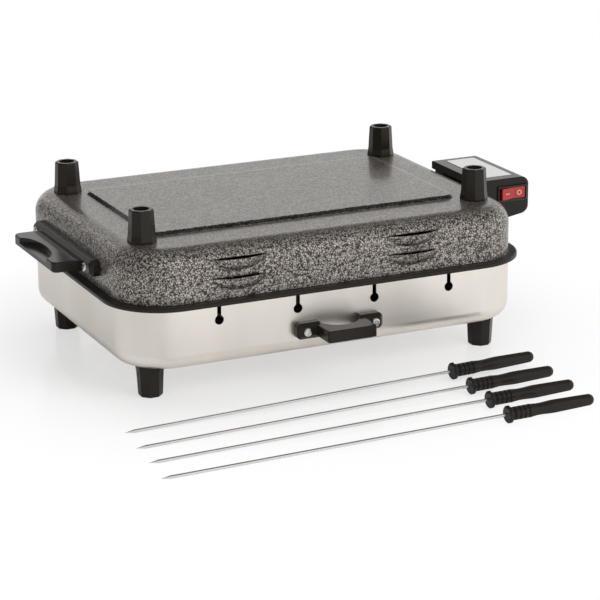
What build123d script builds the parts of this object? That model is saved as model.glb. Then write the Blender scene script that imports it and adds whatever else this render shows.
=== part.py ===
from build123d import *
import os
from math import asin, degrees, radians, sqrt, tan

# Electric barbecue grill: a stainless base pan for skewers and an upturned lid pan that carries the
# heating element. X runs to the right, Y to the back, Z up, and every size is in millimetres.
# The model is laid out about the middle of the base pan and moved to its origin at the end.

# Sheet pans
pan_length = 408.0
pan_depth = 302.0
pan_corner_radius = 50.0
sheet = 0.8
foot_height = 31.0
base_pan_height = 62.1
base_bottom_radius = 14.0
rim_gap = 0.3
rim_side_gap = 0.7
lid_pan_height = 49.8
lid_top_radius = 20.0
lid_flange_reach = 8.5
lid_lip_height = 2.9
rim_fold_radius = 1.3

# Raised panel in the closed face of the lid pan
panel_length = 313.0
panel_depth = 176.0
panel_corner_radius = 8.0
panel_rise = 3.3
panel_bevel = 3.0

# Keyhole slots that carry the skewers over the base pan
keyhole_count = 4
keyhole_pitch = 79.0
keyhole_diameter = 9.0
keyhole_slot_width = 4.0
keyhole_height = 75.0

# Pressed louvres in the front wall of the lid pan
louvre_group_places = (-97.0, 80.0)
louvre_heights = (132.0, 113.8)
louvre_length = 54.0
louvre_rise = 6.5
louvre_axis_depth = 8.0
louvre_root = 6.0

# Hollow eight-sided feet
base_foot_spacing = (347.0, 229.0)
lid_foot_spacing = (345.0, 201.0)
foot_seat_width = 25.2
foot_seat_height = 2.0
foot_flare_height = 8.0
foot_waist_width = 23.4
foot_end_width = 21.2
foot_bore = 15.0
foot_floor = 6.0
foot_lip = 1.2

# Fasteners
screw_diameter = 4.0
screw_clearance = 0.15
screw_head_diameter = 8.0
screw_head_height = 2.6
cross_slot_width = 1.2
cross_slot_length = 4.6
cross_slot_depth = 1.2
nut_width = 7.0
nut_height = 3.2
rivet_diameter = 3.2
rivet_head_diameter = 6.0
rivet_head_height = 1.4

# Front handle of the base pan
front_handle_height = 54.5
front_handle_span = 88.5
front_handle_screw_pitch = 70.0
front_ear_height = 15.5
front_ear_depth = 11.0
front_ear_corner = 4.5
front_ear_bevel = 3.6
front_grip_width = 50.0
front_grip_reach = 36.0
front_grip_thickness = 11.5
front_hole_width = 42.0
front_hole_depth = 21.0
front_grip_end_radius = 3.0

# Side handle of the lid pan
side_handle_height = 114.0
side_handle_middle = 8.0
side_handle_span = 164.0
side_handle_screw_pitch = 138.0
side_ear_height = 16.0
side_ear_depth = 10.0
side_ear_corner = 6.0
side_ear_bevel = 3.5
side_grip_width = 115.0
side_grip_reach = 37.5
side_grip_thickness = 10.0
side_grip_drop = 2.0
side_grip_rise = 1.0
side_grip_bend = 8.0
side_grip_end_radius = 6.0
side_scoop_width = 78.0
side_scoop_reach = 13.5
side_scoop_depth = 5.4

# Rear hinges
hinge_places = (-79.0, 79.0)
hinge_axis_offset = 15.0
hinge_leaf_width = 34.0
hinge_leaf_sheet = 1.5
hinge_knuckle_radius = 4.5
hinge_knuckle_length = 11.0
hinge_pin_diameter = 4.0
hinge_pin_play = 0.05
hinge_pin_head_diameter = 6.4
hinge_pin_head_height = 1.5
hinge_knuckle_gap = 0.35
base_leaf_height = 18.0
lid_leaf_height = 20.0
lid_leaf_rise = 2.0

# Control box on the right wall of the lid pan
box_reach = 52.7
box_length = 100.0
box_middle = -12.0
box_top = 147.5
box_height = 46.4
box_bottom_slope = 9.4
box_edge_radius = 8.0
box_end_radius = 1.6
box_wall = 2.5
box_crease_height = 122.6
box_front_taper = 4.5
box_lip_reach = 4.0
box_lip_height = 8.0
box_plate_sheet = 1.2
box_plate_play = 0.8
box_post_diameter = 7.0
box_post_height = 9.0
box_post_inset = 12.0
box_screw_length = 12.0
label_size = (31.5, 79.0)
label_inset = 6.8
label_shift = 1.5
label_sheet = 0.4

# Rocker switch in the front end of the control box
switch_inset = 19.4
switch_height = 132.4
switch_bezel = (33.6, 16.6)
switch_bezel_thickness = 1.8
switch_window = (30.2, 12.2)
switch_body_depth = 17.0
rocker_length = 27.8
rocker_width = 11.2
rocker_angle = 7.0
rocker_pivot_depth = 3.5
rocker_pivot_radius = 1.2
rocker_stem = 6.5
rocker_proud = 1.2

# Parts behind the control box's walls
thermostat_diameter = 17.0
thermostat_height = 11.0
terminal_block_size = (14.0, 34.0, 12.0)
terminal_bore = 3.4
gland_height = 127.0
gland_bore = 7.2
gland_body_diameter = 12.0
gland_flange_diameter = 18.0
gland_flange_thickness = 2.5
gland_inner_length = 8.0

# Heating element and its reflector in the lid pan
element_diameter = 6.6
element_height = 116.0
element_run_pitch = 56.0
element_left_end = -148.0
element_right_end = 150.0
element_inner_turn = 108.0
element_terminal_diameter = 3.0
element_terminal_length = 12.0
element_collar_diameter = 11.0
element_collar_length = 4.0
element_lead_places = (-38.0, 14.0)
reflector_length = 372.0
reflector_depth = 266.0
reflector_corner_radius = 34.0
reflector_height = 124.0
reflector_fold = 4.0
reflector_rib_length = 290.0
reflector_rib_width = 8.0
reflector_rib_rise = 2.4
reflector_sheet = 0.8
spacer_diameter = 8.0
spacer_places = (130.0, 70.0)
clip_places = (-100.0, 60.0)
clip_width = 12.0
clip_sheet = 0.8
clip_flange = 7.0

# Drip tray and grill grate in the base pan
tray_length = 330.0
tray_depth = 226.0
tray_height = 11.0
tray_corner_radius = 22.0
tray_slope = 5.0
tray_lip = 4.0
tray_clearance = 0.3
grate_length = 376.0
grate_depth = 272.0
grate_corner_radius = 36.0
grate_height = 62.0
grate_frame_wire = 5.0
grate_bar_wire = 3.2
grate_bar_count = 25
grate_cross_wire = 4.0
grate_cross_places = (-62.0, 62.0)
grate_leg_places = (140.0, 122.0)
grate_leg_foot = 9.0
grate_bar_margin = 12.0
grate_weld = 1.0
grate_foot_clearance = 0.3

# Skewers laid out in front of the grill
skewer_rod_diameter = 3.0
skewer_rod_length = 329.0
skewer_point_length = 9.0
skewer_collar_diameter = 16.0
skewer_collar_thickness = 4.0
skewer_grip_length = 88.0
skewer_grip_neck = 10.0
skewer_grip_shoulder = 12.2
skewer_grip_waist = 11.2
skewer_grip_belly = 12.6
skewer_grip_end = 10.8
skewer_shoulder_place = 24.0
skewer_waist_place = 30.0
skewer_belly_place = 46.0
skewer_facet_depth = 0.25
skewer_groove_count = 3
skewer_groove_start = 10.5
skewer_groove_pitch = 4.6
skewer_groove_width = 1.6
skewer_groove_depth = 0.9
skewer_socket_depth = 74.0
skewer_notch = 4.0
skewer_places = (
    (96.0, -199.6, 0.6),
    (91.0, -243.8, 0.0),
    (88.0, -284.6, -0.6),
    (83.5, -326.2, -1.1),
)

# Levels that follow from the sizes above
base_floor = foot_height
base_rim = base_floor + base_pan_height
lid_rim = base_rim + rim_gap
lid_top = lid_rim + lid_pan_height
total_height = lid_top + foot_height
hinge_height = total_height / 2
hinge_y = pan_depth / 2 + hinge_axis_offset
front_wall = -pan_depth / 2
right_wall = pan_length / 2
lid_flange_top = lid_rim + sheet
lid_lip_bottom = lid_rim - lid_lip_height
base_flange_reach = lid_flange_reach - sheet - rim_side_gap

nodes = {}


def keep(name, shape):
    nodes[name] = shape
    return shape


def joined(shapes):
    shapes = list(shapes)
    return shapes[0].fuse(*shapes[1:]) if len(shapes) > 1 else shapes[0]


def grouped(shapes):
    return Compound(children=[shape if isinstance(shape, Solid) else shape.solid() for shape in shapes])


def plate(length, depth, radius, low, high):
    return Pos(0, 0, low) * extrude(RectangleRounded(length, depth, radius), high - low)


def dish(length, depth, radius, edge_radius, closed, rim):
    block = plate(length, depth, radius, min(closed, rim), max(closed, rim))
    ends = block.faces().filter_by(GeomType.PLANE).sort_by(Axis.Z)
    face = ends[0] if closed < rim else ends[-1]
    return fillet(face.edges(), edge_radius)


def rod(start, end, radius):
    line = Vector(*end) - Vector(*start)
    plane = Plane(origin=start, z_dir=line)
    return extrude(plane * Circle(radius), line.length)


def corners(spacing):
    return [(i * spacing[0] / 2, j * spacing[1] / 2) for i in (-1, 1) for j in (-1, 1)]


def corner_name(x, y):
    return ("front" if y < 0 else "rear") + ("_left" if x < 0 else "_right")


# A pan-head screw: the head stands on the plane, the shank runs back through it
def screw(plane, length):
    head = extrude(Circle(screw_head_diameter / 2), screw_head_height)
    top = head.edges().group_by(Axis.Z)[-1]
    head = fillet(top, screw_head_height * 0.6)
    slot = Rectangle(cross_slot_length, cross_slot_width) + Rectangle(cross_slot_width, cross_slot_length)
    head -= Pos(0, 0, screw_head_height - cross_slot_depth) * extrude(slot, cross_slot_depth + 1)
    shank = extrude(Circle(screw_diameter / 2), -length)
    return plane.location * (head + shank)


def nut(plane):
    ring = RegularPolygon(nut_width / 2, 6, major_radius=False) - Circle(screw_diameter / 2 + 0.02)
    return plane.location * extrude(ring, nut_height)


def screw_hole(plane, length):
    return plane.location * extrude(Circle(screw_diameter / 2 + screw_clearance), length, both=True)


def rivet(plane, grip):
    head = extrude(Circle(rivet_head_diameter / 2), rivet_head_height)
    head = fillet(head.edges().group_by(Axis.Z)[-1], rivet_head_height * 0.7)
    shank = extrude(Circle(rivet_diameter / 2), -grip)
    tail = Pos(0, 0, -grip - rivet_head_height) * extrude(Circle(rivet_head_diameter / 2), rivet_head_height)
    return plane.location * (head + shank + tail)


def rivet_hole(plane, length):
    return plane.location * extrude(Circle(rivet_diameter / 2), length, both=True)


# Places of the fasteners that go through the pans
def wall_plane(x, z):
    return Plane(origin=(x, front_wall, z), x_dir=(1, 0, 0), z_dir=(0, -1, 0))


def left_plane(y, z):
    return Plane(origin=(-right_wall, y, z), x_dir=(0, -1, 0), z_dir=(-1, 0, 0))


def right_plane(y, z):
    return Plane(origin=(right_wall, y, z), x_dir=(0, 1, 0), z_dir=(1, 0, 0))


def rear_plane(x, z):
    return Plane(origin=(x, -front_wall, z), x_dir=(-1, 0, 0), z_dir=(0, 1, 0))


front_screw_places = [(i * front_handle_screw_pitch / 2, front_handle_height) for i in (-1, 1)]
side_screw_places = [(side_handle_middle + i * side_handle_screw_pitch / 2, side_handle_height)
                     for i in (-1, 1)]
base_leaf_top = hinge_height - hinge_knuckle_radius
base_leaf_middle = base_leaf_top - base_leaf_height / 2
lid_leaf_bottom = lid_flange_top + lid_leaf_rise
lid_leaf_middle = lid_leaf_bottom + lid_leaf_height / 2
rivet_inset = hinge_leaf_width / 2 - 7.0
base_rivet_places = [(x + i * rivet_inset, base_leaf_middle) for x in hinge_places for i in (-1, 1)]
lid_rivet_places = [(x + i * rivet_inset, lid_leaf_middle) for x in hinge_places for i in (-1, 1)]
keyhole_places = [(i - (keyhole_count - 1) / 2) * keyhole_pitch for i in range(keyhole_count)]


# Base pan: a deep-drawn stainless tray with an outward rim, keyholes front and back
def base_pan():
    outer = dish(pan_length, pan_depth, pan_corner_radius, base_bottom_radius, base_floor, base_rim)
    inner = dish(pan_length - 2 * sheet, pan_depth - 2 * sheet, pan_corner_radius - sheet,
                 base_bottom_radius - sheet, base_floor + sheet, base_rim + 1)
    reach = base_flange_reach
    rim = plate(pan_length + 2 * reach, pan_depth + 2 * reach, pan_corner_radius + reach,
                base_rim - sheet, base_rim)
    shell = outer + rim - inner
    across = pan_depth + 2 * reach + 2
    for x in keyhole_places:
        hole = Plane(origin=(x, 0, keyhole_height), z_dir=(0, 1, 0))
        shell -= extrude(hole * Circle(keyhole_diameter / 2), across / 2, both=True)
        slot_height = base_rim + 1 - keyhole_height
        slot = Pos(x, 0, keyhole_height + slot_height / 2) * Box(keyhole_slot_width, across, slot_height)
        shell -= slot
    for x, z in front_screw_places:
        shell -= screw_hole(wall_plane(x, z), 4)
    for x, z in base_rivet_places:
        shell -= rivet_hole(rear_plane(x, z), 4)
    for x, y in corners(base_foot_spacing):
        shell -= screw_hole(Plane(origin=(x, y, base_floor)), 4)
    return shell


# A louvre's hood: the lower half of a barrel that bulges out of the wall, cut off level at its slot
def louvre_hood(x, z, shrink):
    reach = louvre_length / 2 - shrink
    edge = louvre_axis_depth - shrink
    crown = edge + louvre_rise
    outline = ThreePointArc((-reach, edge), (0, crown), (reach, edge)) + Polyline(
        (reach, edge), (reach, 0), (-reach, 0), (-reach, edge))
    barrel = Pos(x, front_wall + louvre_axis_depth, z) * revolve(make_face(outline), Axis.X)
    size = 2 * louvre_length
    return barrel & (Pos(x, front_wall + louvre_root - size / 2, z - size / 2) * Box(size, size, size))


# Lid pan: drawn from sheet, upturned, with a folded rim, a raised panel and four louvres
def lid_pan():
    outer = dish(pan_length, pan_depth, pan_corner_radius, lid_top_radius, lid_top, lid_rim)
    inner = dish(pan_length - 2 * sheet, pan_depth - 2 * sheet, pan_corner_radius - sheet,
                 lid_top_radius - sheet, lid_top - sheet, lid_rim - 1)
    grow = 2 * panel_bevel
    low = RectangleRounded(panel_length + grow, panel_depth + grow, panel_corner_radius + panel_bevel)
    high = RectangleRounded(panel_length, panel_depth, panel_corner_radius)
    raised = loft([Pos(0, 0, lid_top) * low, Pos(0, 0, lid_top + panel_rise) * high], ruled=True)
    reach = lid_flange_reach
    collar = plate(pan_length + 2 * reach, pan_depth + 2 * reach, pan_corner_radius + reach,
                   lid_lip_bottom, lid_flange_top)
    collar = fillet(collar.faces().sort_by(Axis.Z)[-1].edges(), rim_fold_radius)
    under = plate(pan_length + 2 * (reach - sheet), pan_depth + 2 * (reach - sheet),
                  pan_corner_radius + reach - sheet, lid_lip_bottom - 1, lid_rim)
    louvres = [(x, z) for x in louvre_group_places for z in louvre_heights]
    shell = outer + raised + collar
    for x, z in louvres:
        shell += louvre_hood(x, z, 0)
    shell = shell - under - inner - Pos(0, 0, -sheet) * raised
    for x, z in louvres:
        shell -= louvre_hood(x, z, sheet)
    for y, z in side_screw_places:
        shell -= screw_hole(left_plane(y, z), 4)
    for x, z in lid_rivet_places:
        shell -= rivet_hole(rear_plane(x, z), 4)
    for x, y in corners(lid_foot_spacing):
        shell -= screw_hole(Plane(origin=(x, y, lid_top)), 4)
    for y in element_lead_places:
        shell -= lead_hole(y)
    for y, z in box_screw_places:
        shell -= screw_hole(right_plane(y, z), 4)
    return shell


# Hole in the right wall for one cold end of the heating element
def lead_hole(y):
    radius = element_diameter / 2 + 0.2
    return extrude(right_plane(y, element_height) * Circle(radius), 4, both=True)


# Foot: hollow, eight-sided, flared where it stands on the pan; local z runs from seat to free end
def foot(plane):
    seat = RegularPolygon(foot_seat_width / 2, 8, major_radius=False)
    waist = RegularPolygon(foot_waist_width / 2, 8, major_radius=False)
    end = RegularPolygon(foot_end_width / 2, 8, major_radius=False)
    lip = RegularPolygon(foot_end_width / 2 - foot_lip / 2, 8, major_radius=False)
    body = extrude(seat, foot_seat_height)
    body += loft([Pos(0, 0, foot_seat_height) * seat, Pos(0, 0, foot_flare_height) * waist], ruled=True)
    shaft_end = foot_height - foot_lip
    body += loft([Pos(0, 0, foot_flare_height) * waist, Pos(0, 0, shaft_end) * end], ruled=True)
    body += loft([Pos(0, 0, shaft_end) * end, Pos(0, 0, foot_height) * lip], ruled=True)
    body -= Pos(0, 0, foot_floor) * extrude(Circle(foot_bore / 2), foot_height)
    body -= extrude(Circle(screw_diameter / 2 + screw_clearance), foot_height)
    turned = plane.location * (Rot(0, 0, 22.5) * body)
    return turned


def foot_screw(plane, seat_thickness):
    turned = Plane(origin=plane.origin + plane.z_dir * foot_floor, x_dir=plane.x_dir, z_dir=plane.z_dir)
    return screw(turned, foot_floor + seat_thickness + nut_height + 1)


def foot_nut(plane):
    back = -plane.z_dir
    return nut(Plane(origin=plane.origin + back * sheet, x_dir=plane.x_dir, z_dir=back))


# Front handle: one moulding of two ears and a flat grip with a half-round finger hole at the wall
def front_handle():
    half = front_grip_width / 2
    ear_outline = Rectangle(front_handle_span, front_ear_height)
    ears = extrude(wall_plane(0, front_handle_height) * ear_outline, front_ear_depth)
    ears = fillet(ears.edges().filter_by(Axis.Y), front_ear_corner)
    outer_ends = ears.edges().filter_by(Axis.Z).group_by(Axis.Y)[0]
    ears = chamfer(outer_ends, front_ear_bevel)
    gap = Box(front_hole_width, 4 * front_ear_depth, 4 * front_ear_height)
    ears -= Pos(0, front_wall, front_handle_height) * gap
    level = front_handle_height - front_grip_thickness / 2
    top = Plane(origin=(0, front_wall, level))
    outline = make_face(Polyline((-half, 0), (-half, -front_grip_reach), (half, -front_grip_reach),
                                 (half, 0), close=True))
    grip = extrude(top * outline, front_grip_thickness)
    grip = fillet(grip.edges().filter_by(Axis.Z).group_by(Axis.Y)[0], front_grip_end_radius)
    grip = chamfer(grip.faces().filter_by(Axis.Z).edges().filter_by(Axis.Y, reverse=True), 0.8)
    hole = Ellipse(front_hole_width / 2, front_hole_depth)
    body = ears + grip - extrude(top * hole, front_ear_height * 2, both=True)
    for x, z in front_screw_places:
        body -= screw_hole(wall_plane(x, z), front_ear_depth + 4)
    return body


# Side handle: a longer moulding whose grip bends up a little and has a thumb scoop in its outer edge
def side_handle():
    ear_outline = Rectangle(side_handle_span, side_ear_height)
    ears = extrude(left_plane(side_handle_middle, side_handle_height) * ear_outline, side_ear_depth)
    ears = fillet(ears.edges().filter_by(Axis.X), side_ear_corner)
    outer_ends = ears.edges().filter_by(Axis.Z).group_by(Axis.X)[0]
    ears = chamfer(outer_ends, side_ear_bevel)
    low = side_handle_height - side_grip_drop - side_grip_thickness / 2
    high = low + side_grip_thickness
    start = -right_wall
    tip = start - side_grip_reach
    knee = start - side_ear_depth
    bend = knee - side_grip_bend
    section = make_face(Polyline((start, low), (knee, low), (bend, low + side_grip_rise),
                                 (tip, low + side_grip_rise), (tip, high + side_grip_rise),
                                 (bend, high + side_grip_rise), (knee, high), (start, high), close=True))
    edge = side_handle_middle + side_grip_width / 2
    grip = extrude(Plane(origin=(0, edge, 0), x_dir=(1, 0, 0), z_dir=(0, -1, 0)) * section, side_grip_width)
    grip = fillet(grip.edges().filter_by(Axis.Z).group_by(Axis.X)[0], side_grip_end_radius)
    grip = chamfer(grip.edges().group_by(Axis.X)[0], 1.0)
    floor_level = high + side_grip_rise - side_scoop_depth
    scoop = extrude(Plane(origin=(tip, side_handle_middle, floor_level)) *
                    Ellipse(side_scoop_reach, side_scoop_width / 2), side_grip_thickness)
    body = ears + grip - scoop
    for y, z in side_screw_places:
        body -= screw_hole(left_plane(y, z), side_ear_depth + 4)
    return body


# Hinge: the leaf's section in the Y-Z plane is extruded across the leaf's width
def cross_section(points, x, width):
    face = make_face(Polyline(*points, close=True))
    plane = Plane(origin=(x - width / 2, 0, 0), x_dir=(0, 1, 0), z_dir=(1, 0, 0))
    return extrude(plane * face, width)


def knuckle(x, width):
    ring = Circle(hinge_knuckle_radius)
    plane = Plane(origin=(x - width / 2, hinge_y, hinge_height), x_dir=(0, 1, 0), z_dir=(1, 0, 0))
    return extrude(plane * ring, width)


def pin_bore(x):
    radius = hinge_pin_diameter / 2 + hinge_pin_play
    return rod((x - hinge_leaf_width, hinge_y, hinge_height),
               (x + hinge_leaf_width, hinge_y, hinge_height), radius)


def base_leaf(x):
    wall = -front_wall
    low = base_leaf_top - base_leaf_height
    t = hinge_leaf_sheet
    leaf = cross_section([(wall, low), (wall + t, low), (wall + t, base_leaf_top), (wall, base_leaf_top)],
                         x, hinge_leaf_width)
    middle = hinge_knuckle_length + 2 * hinge_knuckle_gap
    side = (hinge_leaf_width - middle) / 2
    for i in (-1, 1):
        place = x + i * (middle + side) / 2
        leaf += knuckle(place, side)
        leaf += cross_section([(wall + t / 2, base_leaf_top - 4 * t), (hinge_y - 1, base_leaf_top + 0.2),
                               (hinge_y - 1, base_leaf_top + t), (wall + t / 2, base_leaf_top)], place, side)
    leaf -= pin_bore(x)
    for rivet_x, z in base_rivet_places:
        leaf -= rivet_hole(rear_plane(rivet_x, z), 4)
    return leaf


def lid_leaf(x):
    wall = -front_wall
    t = hinge_leaf_sheet
    low = lid_leaf_bottom
    leaf = cross_section([(wall, low), (wall + t, low), (wall + t, low + lid_leaf_height),
                          (wall, low + lid_leaf_height)], x, hinge_leaf_width)
    arm_top = low + 2 * t
    reach = hinge_y + hinge_knuckle_radius
    leaf += cross_section([(wall + t / 2, low), (hinge_y, low), (hinge_y, hinge_height),
                           (reach, hinge_height), (reach, arm_top - t), (reach - t, arm_top),
                           (wall + t / 2, arm_top)], x, hinge_knuckle_length)
    leaf += knuckle(x, hinge_knuckle_length)
    leaf -= pin_bore(x)
    for rivet_x, z in lid_rivet_places:
        leaf -= rivet_hole(rear_plane(rivet_x, z), 4)
    return leaf


def hinge_pin(x):
    half = hinge_leaf_width / 2
    y, z = hinge_y, hinge_height
    head = hinge_pin_head_height
    pin = rod((x - half - 0.1, y, z), (x + half + 0.1, y, z), hinge_pin_diameter / 2)
    for i in (-1, 1):
        pin += rod((x + i * (half + 0.1), y, z), (x + i * (half + 0.1 + head), y, z),
                   hinge_pin_head_diameter / 2)
    return pin


# Control box: a moulded cover with a lip over the pan's shoulder, and a plate that closes it inside
box_start = right_wall + box_plate_sheet
box_end = right_wall + box_reach
box_low = box_top - box_height
box_front = box_middle - box_length / 2
box_rear = box_middle + box_length / 2
box_screw_places = [(box_middle + i * (box_length / 2 - box_post_inset), box_low + box_post_height)
                    for i in (-1, 1)]
switch_x = box_end - switch_inset
gland_x = (box_start + box_end) / 2


def box_section(shrink, start, lip_bottom):
    end = box_end - shrink
    top = box_top - shrink
    low = box_low + shrink
    lip = right_wall - box_lip_reach + shrink
    face = make_face(Polyline((start, low), (end, low + box_bottom_slope), (end, top), (lip, top),
                              (lip, lip_bottom), (start, lip_bottom), close=True))
    outer = [v for v in face.vertices() if v.X > end - 1]
    return fillet(outer, box_edge_radius - shrink)


# The space before the box's front wall, which leans back below its crease
def before_front(shift):
    front = box_front + shift
    bottom = box_low - 1
    lean = box_front_taper * (box_crease_height - bottom) / (box_crease_height - box_low)
    away = front - 10
    return cross_section([(away, box_crease_height), (front, box_crease_height), (front + lean, bottom),
                          (away, bottom)], box_start, 3 * box_reach)


def control_cover():
    plane = Plane(origin=(0, box_rear, 0), x_dir=(1, 0, 0), z_dir=(0, -1, 0))
    block = extrude(plane * box_section(0, right_wall, box_top - box_lip_height), box_length)
    ends = block.faces().filter_by(Axis.Y).edges()
    block = fillet([e for e in ends if e.center().X > box_start + 1], box_end_radius)
    block -= before_front(0)
    hollow_plane = Plane(origin=(0, box_rear - box_wall, 0), x_dir=(1, 0, 0), z_dir=(0, -1, 0))
    hollow_section = box_section(box_wall, right_wall - 1, box_top - box_lip_height - 1)
    block -= extrude(hollow_plane * hollow_section, box_length - 2 * box_wall) - before_front(box_wall)
    inside = extrude(plane * box_section(0.5, box_start, box_top - box_lip_height), box_length)
    inside -= before_front(0.5)
    for y, z in box_screw_places:
        post = rod((box_start, y, z), (box_start + box_screw_length, y, z), box_post_diameter / 2)
        rib = Pos(box_start + box_screw_length / 2, y, (box_low + z) / 2 + 1) * Box(
            box_screw_length, 2.0, z - box_low)
        block += (post + rib) & inside
        block -= rod((box_start - 1, y, z), (box_start + box_screw_length - 2, y, z),
                     screw_diameter / 2 + 0.02)
    length, width = switch_window
    window = Box(length + 2.4, 4 * box_wall, width + 2.4)
    block -= Pos(switch_x, box_front, switch_height) * window
    block -= rod((gland_x, box_rear - 10, gland_height), (gland_x, box_rear + 10, gland_height),
                 gland_body_diameter / 2 + 0.1)
    return block


def control_plate():
    shrink = box_wall + box_plate_play
    height = box_height - 2 * shrink
    sheet_part = Pos(right_wall + box_plate_sheet / 2, box_middle, box_low + box_height / 2) * Box(
        box_plate_sheet, box_length - 2 * shrink, height)
    sheet_part -= before_front(shrink)
    for y, z in box_screw_places:
        sheet_part -= screw_hole(right_plane(y, z), 4)
    for y in element_lead_places:
        sheet_part -= lead_hole(y)
    return sheet_part


def box_screws():
    group = []
    for y, z in box_screw_places:
        inside = Plane(origin=(right_wall - sheet, y, z), x_dir=(0, 1, 0), z_dir=(-1, 0, 0))
        group.append(screw(inside, sheet + box_plate_sheet + box_screw_length - 3))
    return grouped(group)


def label_plate():
    width, length = label_size
    middle_x = box_start + label_inset + width / 2
    outline = RectangleRounded(width, length, 2)
    return Pos(middle_x, box_middle + label_shift, box_top) * extrude(outline, label_sheet)


# Rocker switch: bezel and body, and the rocker on two trunnions whose axis is upright
def switch_place(depth):
    return Plane(origin=(switch_x, box_front + depth, switch_height), x_dir=(1, 0, 0), z_dir=(0, -1, 0))


def switch_body():
    length, width = switch_window
    bezel = extrude(switch_place(0) * RectangleRounded(*switch_bezel, 1.5), switch_bezel_thickness)
    bezel = chamfer(bezel.faces().sort_by(Axis.Y)[0].edges(), 0.7)
    box = extrude(switch_place(0) * Rectangle(length + 2.0, width + 2.0), -switch_body_depth)
    body = bezel + box
    well = rocker_stem + 2.5
    body -= extrude(switch_place(-switch_bezel_thickness - 1) * Rectangle(length, width),
                    -(well + switch_bezel_thickness + 1))
    pivot = (switch_x, box_front + rocker_pivot_depth)
    radius = rocker_pivot_radius + 0.05
    body -= rod((*pivot, switch_height - width / 2 - 0.7), (*pivot, switch_height + width / 2 + 0.7), radius)
    for i in (-1, 0, 1):
        place = Pos(switch_x + i * 8, box_front + switch_body_depth + 4, switch_height)
        body += place * Box(0.8, 8, 6.3)
    return body


def rocker():
    half = rocker_length / 2
    rise = half * tan(radians(rocker_angle))
    front = -rocker_proud
    depth = rocker_stem
    outline = make_face(Polyline((-half, front - rise), (0, front), (half, front - rise),
                                 (half, front + 2.0), (3.4, depth), (-3.4, depth), (-half, front + 2.0),
                                 close=True))
    plane = Plane(origin=(0, 0, -rocker_width / 2))
    body = extrude(plane * outline, rocker_width)
    body = fillet(body.edges().filter_by(Axis.Z).group_by(Axis.Y)[0], 0.6)
    trunnion = rocker_width / 2 + 0.9
    body += rod((0, rocker_pivot_depth, -trunnion), (0, rocker_pivot_depth, trunnion), rocker_pivot_radius)
    turned = Pos(0, rocker_pivot_depth, 0) * Rot(0, 0, rocker_angle) * Pos(0, -rocker_pivot_depth, 0) * body
    return Pos(switch_x, box_front, switch_height) * turned


def thermostat():
    y = box_middle - 6
    z = element_height + 8
    start = box_start
    body = rod((start, y, z), (start + thermostat_height, y, z), thermostat_diameter / 2)
    body = chamfer(body.edges().filter_by(GeomType.CIRCLE).group_by(Axis.X)[-1], 1.0)
    flange = Pos(start + 0.5, y, z) * Box(1.0, thermostat_diameter + 8, thermostat_diameter - 5)
    tabs = [Pos(start + thermostat_height + 3, y + i * 5, z) * Box(8, 0.8, 6.3) for i in (-1, 1)]
    return joined([body, flange, *tabs])


def terminal_block():
    depth, length, height = terminal_block_size
    middle = (box_start + depth / 2, box_middle + 26, box_top - 13 - height / 2)
    block = Pos(*middle) * Box(depth, length, height)
    block = chamfer(block.edges().filter_by(Axis.Y).group_by(Axis.X)[-1], 2.0)
    for i in (-1, 0, 1):
        y = middle[1] + i * length / 3.2
        block -= rod((middle[0] - depth, y, middle[2]), (middle[0] + depth, y, middle[2]), terminal_bore / 2)
        block -= rod((middle[0], y, middle[2]), (middle[0], y, middle[2] + height), terminal_bore / 2)
    return block


def cord_gland():
    z = gland_height
    outside = rod((gland_x, box_rear, z), (gland_x, box_rear + gland_flange_thickness, z),
                  gland_flange_diameter / 2)
    outside = fillet(outside.edges().filter_by(GeomType.CIRCLE).group_by(Axis.Y)[-1], 1.0)
    body = rod((gland_x, box_rear - box_wall - gland_inner_length, z), (gland_x, box_rear + 0.5, z),
               gland_body_diameter / 2)
    bore = rod((gland_x, box_rear - 30, z), (gland_x, box_rear + 30, z), gland_bore / 2)
    return outside + body - bore


# Heating element: one tube, four long runs, both ends through the right wall
def heating_element():
    p = element_run_pitch
    turn = p / 2
    z = element_height
    wall_end = right_wall + box_plate_sheet + 5
    lead_low, lead_high = element_lead_places
    bend = 12.0
    shoulder = element_right_end + turn
    points = [
        (wall_end, lead_low), (shoulder, lead_low), (shoulder, -1.5 * p), (element_left_end - turn, -1.5 * p),
        (element_left_end - turn, -0.5 * p), (element_inner_turn + turn, -0.5 * p),
        (element_inner_turn + turn, 0.5 * p), (element_left_end - turn, 0.5 * p),
        (element_left_end - turn, 1.5 * p), (shoulder, 1.5 * p), (shoulder, lead_high), (wall_end, lead_high),
    ]
    radii = [bend, turn * 0.9] + [turn * 0.98] * 6 + [turn * 0.9, bend]
    path = FilletPolyline(*[(x, y, z) for x, y in points], radius=radii)
    start = Plane(origin=(wall_end, lead_low, z), z_dir=(-1, 0, 0))
    tube = sweep(start * Circle(element_diameter / 2), path=path)
    for y in element_lead_places:
        tube += rod((wall_end - 0.5, y, z), (wall_end + element_terminal_length, y, z),
                    element_terminal_diameter / 2)
    return tube


# Bushes that seal the element's ends in the wall
def element_bushes():
    group = []
    for y in element_lead_places:
        start = right_wall - sheet
        collar = rod((start - element_collar_length, y, element_height), (start, y, element_height),
                     element_collar_diameter / 2)
        collar -= rod((start - 10, y, element_height), (start + 10, y, element_height),
                      element_diameter / 2 + 0.02)
        group.append(collar)
    return grouped(group)


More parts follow.
